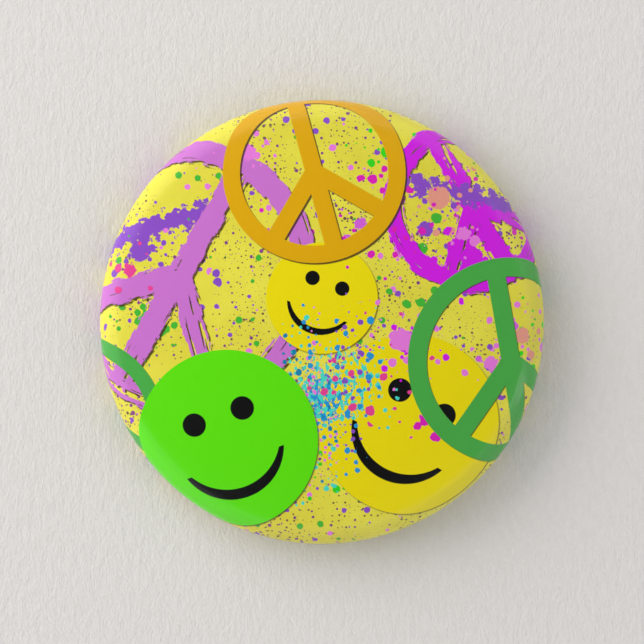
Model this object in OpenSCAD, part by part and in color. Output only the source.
// Round button badge with a bar pin.
// A domed steel shell is wrapped in a printed paper sheet and a clear film. Their edges fold round
// the shell's lip and are clamped there by a pressed steel back plate, which carries a riveted bar
// pin with a swinging needle and a turning safety catch.
// The badge lies on its back: z = 0 is the back rim, +Z points out of the face, and +Y is the top
// of the design. All sizes are in millimetres.

/* [Face] */
// Outside diameter of the finished badge
badge_d = 57.2; // [47:0.1:70]
// Height from the back rim to the top of the dome
badge_h = 8; // [6.6:0.1:10]
// Radius of the rounded shoulder between the dome and the side
shoulder_r = 3.4; // [2.7:0.1:4.1]
// Height of the straight part of the side
side_h = 0.7; // [0.5:0.05:1.5]
// Outside radius of the curl from the side to the back rim
curl_r = 1.7; // [1.4:0.05:2.1]
// Width of the flat lip that the back rim rests on
lip_w = 1.6; // [1.2:0.1:2]

/* [Sheets] */
// Thickness of the clear film
film_t = 0.08; // [0.05:0.01:0.1]
// Thickness of the printed paper
paper_t = 0.1; // [0.08:0.01:0.12]
// Thickness of the front shell
shell_t = 0.22; // [0.2:0.01:0.3]
// Thickness of the back plate
plate_t = 0.22; // [0.2:0.01:0.3]
// Gap between one layer and the next
layer_gap = 0.02; // [0.015:0.005:0.03]

/* [Back plate] */
// Width of the flat land between the lip and the recess
land_w = 3.8; // [3:0.1:4.6]
// Inside radius of the bends at the top and bottom of the recess's step
step_r = 0.8; // [0.6:0.05:1]
// Slope of the step from the vertical, in degrees
step_draft = 15; // [5:1:20]
// Gap between the plate's wall and the inside of the shell's shoulder
wall_gap = 0.15; // [0.1:0.05:0.3]

/* [Bar pin] */
// Distance of the bar pin above the middle of the badge
bar_y = 4; // [3:0.1:5]
// Width of the bar
bar_w = 5; // [4.2:0.1:6]
// Thickness of the bar and its ears
bar_t = 0.5; // [0.4:0.05:0.6]
// Gap between each end of the bar and the edge of the recess
bar_gap = 1.9; // [1.5:0.1:2.3]
// Diameter of the needle
needle_d = 0.9; // [0.75:0.05:1.1]
// Length of the needle's sharpened point
point_l = 4; // [3.2:0.1:4.8]
// Outside radius of the needle's eye
eye_r = 1; // [0.9:0.05:1.2]
// Thickness of the needle's flattened eye
eye_t = 0.6; // [0.5:0.05:0.7]
// Diameter of the hinge pin
hinge_d = 0.8; // [0.65:0.05:0.95]
// Radial clearance of the needle's eye on the hinge pin
hinge_gap = 0.05; // [0.03:0.01:0.08]
// Gap between the eye and each ear
ear_gap = 0.1; // [0.08:0.01:0.15]
// Diameter of the rivets' shanks
rivet_d = 1.6; // [1.3:0.1:1.9]
// Diameter of the rivets' heads
rivet_head_d = 2.8; // [2.4:0.1:3.2]
// Thickness of the rivets' heads
rivet_head_t = 0.25; // [0.2:0.05:0.3]

/* [Safety catch] */
// Length of the catch's housing
housing_l = 3; // [2.5:0.1:3.6]
// Wall of the housing
housing_t = 0.5; // [0.4:0.05:0.6]
// Angle of the housing's mouth, in degrees
mouth_a = 100; // [85:1:115]
// Wall of the turning sleeve
sleeve_t = 0.5; // [0.4:0.05:0.6]
// Radial clearance of the sleeve in its housing
sleeve_gap = 0.08; // [0.05:0.01:0.1]
// Clearance between the needle and the sleeve
needle_gap = 0.15; // [0.1:0.01:0.2]
// Length of the collar that keeps the sleeve in, with its finger tab
collar_l = 1; // [0.8:0.1:1.2]
// How far the finger tab stands out of the collar
tab_h = 0.6; // [0.5:0.05:0.7]
// Gap between the back rim's plane and the tab at its lowest
foot_gap = 0.25; // [0.2:0.05:0.5]

/* [Hidden] */
$fn = 96;
EPS = 0.01;
crown_steps = 12;
bend_steps = 8;

// The stack of sheets, as depths below the outside of the film.
paper_d = film_t + layer_gap;
shell_d = paper_d + paper_t + layer_gap;
inside_d = shell_d + shell_t;
fold_d = inside_d + shell_d;
plate_d = fold_d + layer_gap;

// Outline of the badge's side, with every layer's bends on the same centres.
edge_r = badge_d / 2;
shoulder_c = [edge_r - shoulder_r, curl_r + side_h];
curl_c = [edge_r - curl_r, curl_r];
fold_c = [edge_r - curl_r - lip_w, fold_d / 2];
dome_h = badge_h - shoulder_c.y;
crown_r = (shoulder_c.x ^ 2 + dome_h ^ 2 - shoulder_r ^ 2) / (2 * (dome_h - shoulder_r));
crown_c = [0, badge_h - crown_r];
crown_a = acos(shoulder_c.x / (crown_r - shoulder_r));
tuck_top = shoulder_c.y;

// Catch, from the needle outwards. Its axis is the needle's.
needle_r = needle_d / 2;
sleeve_ri = needle_r + needle_gap;
sleeve_ro = sleeve_ri + sleeve_t;
housing_ri = sleeve_ro + sleeve_gap;
housing_ro = housing_ri + housing_t;
collar_r = (housing_ri + housing_ro) / 2;
tab_r = collar_r + tab_h;
tab_w = 0.8;
flange_l = 0.3;
end_play = 0.1;
slot_w = 2 * (needle_r + needle_gap / 2);

// Heights: the catch's tab just clears the back rim's plane, and the recess is as deep as it needs.
pin_z = foot_gap + tab_r;
bar_z = pin_z + housing_ro - housing_t / 4;
recess_z = bar_z + bar_t;

// Step between the plate's land and its recess.
step_low_c = [fold_c.x - fold_d / 2 - land_w, plate_d + plate_t + step_r];
step_across = 2 * step_r + plate_t;
step_run = (recess_z - step_r + step_across * sin(step_draft) - step_low_c.y) / cos(step_draft);
step_top_c = [step_low_c.x - step_across * cos(step_draft) - step_run * sin(step_draft),
    recess_z - step_r];
wall_top = shoulder_c.y - wall_gap
    + sqrt((shoulder_r - inside_d) ^ 2 - (shoulder_r - plate_d) ^ 2);

// Lengthwise places on the bar pin.
bar_l = 2 * (sqrt(step_top_c.x ^ 2 - (bar_y + bar_w / 2) ^ 2) - bar_gap);
ear_r = eye_r;
hinge_x = -bar_l / 2 + ear_r;
neck_w = eye_t + 2 * ear_gap + 2 * bar_t;
neck_l = 3.2;
collar_x = bar_l / 2 - collar_l;
housing_x = collar_x - end_play - housing_l;
flange_x = housing_x - end_play - flange_l;
body_l = bar_l - 2 * neck_l - housing_l;
body_x = -bar_l / 2 + neck_l + body_l / 2;
corner_r = 1;
wire_x = hinge_x + ear_r + 0.3;
tip_x = collar_x - 0.3;
tip_r = 0.06;
rivet_xs = [body_x - body_l / 2 + rivet_head_d, body_x + body_l / 2 - rivet_head_d];
hinge_r = hinge_d / 2;
press_gap = 0.01;

function flip(points) = [for (i = [len(points) - 1 : -1 : 0]) points[i]];

// Points on an arc, from angle a0 to a1. from = 1 leaves out the first.
function arc(c, r, a0, a1, steps, from = 0) =
    [for (i = [from : steps]) let (a = a0 + (a1 - a0) * i / steps) c + r * [cos(a), sin(a)]];

// A layer's face at depth d: over the dome, the shoulder, the side and the curl, to the lip.
function outside_run(d) = concat(
    arc(crown_c, crown_r - d, 90, crown_a, crown_steps),
    arc(shoulder_c, shoulder_r - d, crown_a, 0, bend_steps, 1),
    arc(curl_c, curl_r - d, 0, -90, bend_steps));

// The same face round the lip's edge, and then tucked back up inside the side.
function lip_turn(d) = arc(fold_c, fold_d / 2 - d, -90, -270, bend_steps);
function tucked_run(d) = concat(
    arc(curl_c, curl_r - fold_d + d, -90, 0, bend_steps),
    [[edge_r - fold_d + d, tuck_top]]);
function wrapped(d) = concat(outside_run(d), lip_turn(d), tucked_run(d));

module wrapped_sheet(depth, thickness) {
    rotate_extrude() polygon(concat(wrapped(depth), flip(wrapped(depth + thickness))));
}

module along_x(x, y = bar_y, z = pin_z) {
    translate([x, y, z]) rotate([0, 90, 0]) children();
}

module clear_film() {
    color([0.9, 0.95, 1, 0.35]) wrapped_sheet(0, film_t);
}

module printed_sheet() {
    color([0.87, 0.84, 0.2]) wrapped_sheet(paper_d, paper_t);
}

module front_shell() {
    color("silver") rotate_extrude()
        polygon(concat(outside_run(shell_d), lip_turn(shell_d), flip(outside_run(inside_d))));
}

// One side of the pressed plate, t inside its rear face.
function plate_face(t) = concat(
    [[0, recess_z + t]],
    arc(step_top_c, step_r + t, 90, step_draft, bend_steps),
    arc(step_low_c, step_r + plate_t - t, 180 + step_draft, 270, bend_steps),
    arc(curl_c, curl_r - plate_d - t, -90, 0, bend_steps),
    [[edge_r - plate_d - t, wall_top]]);

module back_plate() {
    color("lightsteelblue") difference() {
        rotate_extrude() polygon(concat(plate_face(0), flip(plate_face(plate_t))));
        rivet_holes(recess_z, plate_t);
    }
}

module rivet_holes(z, thickness) {
    for (x = rivet_xs)
        translate([x, bar_y, z - EPS])
            cylinder(d = rivet_d + 2 * press_gap, h = thickness + 2 * EPS);
}

// Rivets: a low domed head on the bar, and a flat formed tail inside the badge.
module bar_rivets() {
    head_taper = 0.35;
    color("gainsboro") for (x = rivet_xs) translate([x, bar_y, 0]) {
        translate([0, 0, bar_z - rivet_head_t - layer_gap])
            cylinder(d1 = rivet_head_d - 2 * head_taper, d2 = rivet_head_d, h = rivet_head_t);
        translate([0, 0, bar_z - layer_gap - EPS])
            cylinder(d = rivet_d, h = bar_t + plate_t + 2 * layer_gap + 2 * EPS);
        translate([0, 0, recess_z + plate_t + layer_gap])
            cylinder(d1 = rivet_head_d - head_taper, d2 = rivet_d, h = rivet_head_t);
    }
}

module bar_outline() {
    translate([body_x, 0]) {
        square([body_l, bar_w - 2 * corner_r], center = true);
        square([body_l - 2 * corner_r, bar_w], center = true);
        for (sx = [-1, 1], sy = [-1, 1])
            translate([sx * (body_l / 2 - corner_r), sy * (bar_w / 2 - corner_r)])
                circle(corner_r);
    }
    translate([-bar_l / 2, -neck_w / 2]) square([neck_l + corner_r, neck_w]);
    translate([body_x + body_l / 2 - corner_r, -neck_w / 2])
        square([housing_x + housing_l - body_x - body_l / 2 + corner_r, neck_w]);
}

// An ear hangs from the bar's neck and is rounded about the hinge.
module ear() {
    difference() {
        union() {
            circle(ear_r);
            translate([-ear_r, 0]) square([2 * ear_r, bar_z + EPS - pin_z]);
        }
        circle(hinge_r + press_gap);
    }
}

module ears() {
    for (side = [-1, 1])
        translate([hinge_x, bar_y + side * (neck_w - bar_t) / 2 + bar_t / 2, pin_z])
            rotate([90, 0, 0]) linear_extrude(bar_t) ear();
}

// The housing is a tube along the needle's axis with its mouth facing away from the bar.
module catch_housing() {
    reach = 2 * housing_ro;
    along_x(housing_x) difference() {
        cylinder(r = housing_ro, h = housing_l);
        translate([0, 0, -EPS]) cylinder(r = housing_ri, h = housing_l + 2 * EPS);
        translate([0, 0, -EPS]) linear_extrude(housing_l + 2 * EPS)
            polygon([[0, 0], for (s = [-1, 1]) reach * [cos(mouth_a / 2), s * sin(mouth_a / 2)]]);
    }
}

module pin_bar() {
    color("lightgray") {
        difference() {
            translate([0, bar_y, bar_z]) linear_extrude(bar_t - layer_gap) bar_outline();
            rivet_holes(bar_z, bar_t);
        }
        ears();
        catch_housing();
    }
}

module hinge_pin() {
    head_r = hinge_r + 0.3;
    head_t = 0.25;
    span = neck_w + 2 * layer_gap;
    color("gainsboro") translate([hinge_x, bar_y, pin_z]) rotate([90, 0, 0]) {
        cylinder(r = hinge_r, h = span + 2 * head_t, center = true);
        for (side = [-1, 1])
            translate([0, 0, side * (span + head_t) / 2])
                cylinder(r = head_r, h = head_t, center = true);
    }
}

// Needle: a flattened eye, a flat neck, and the round wire and its long point turned in one.
module needle() {
    color("white") difference() {
        union() {
            translate([hinge_x, bar_y, pin_z]) rotate([90, 0, 0])
                cylinder(r = eye_r, h = eye_t, center = true);
            translate([hinge_x, bar_y - eye_t / 2, pin_z - needle_r])
                cube([wire_x - hinge_x + EPS, eye_t, needle_d]);
            along_x(wire_x) rotate_extrude() polygon([[0, 0], [needle_r, 0],
                [needle_r, tip_x - point_l - wire_x], [tip_r, tip_x - wire_x], [0, tip_x - wire_x]]);
        }
        translate([hinge_x, bar_y, pin_z]) rotate([90, 0, 0])
            cylinder(r = hinge_r + hinge_gap, h = eye_t + 2 * EPS, center = true);
    }
}

// Catch sleeve: a slotted tube that turns in the housing, with a flange and a collar outside it.
module catch_sleeve() {
    sleeve_l = collar_x + collar_l - flange_x;
    color("lightgray") difference() {
        union() {
            along_x(flange_x) cylinder(r = sleeve_ro, h = sleeve_l);
            along_x(flange_x) cylinder(r = collar_r, h = flange_l);
            along_x(collar_x) cylinder(r = collar_r, h = collar_l);
            translate([collar_x, bar_y - tab_r, pin_z - tab_w / 2])
                cube([collar_l, tab_r - sleeve_ro, tab_w]);
        }
        along_x(flange_x - EPS) cylinder(r = sleeve_ri, h = sleeve_l + 2 * EPS);
        translate([flange_x - EPS, bar_y - slot_w / 2, pin_z - 2 * collar_r])
            cube([sleeve_l + 2 * EPS, slot_w, 2 * collar_r]);
    }
}

clear_film();
printed_sheet();
front_shell();
back_plate();
bar_rivets();
pin_bar();
hinge_pin();
needle();
catch_sleeve();
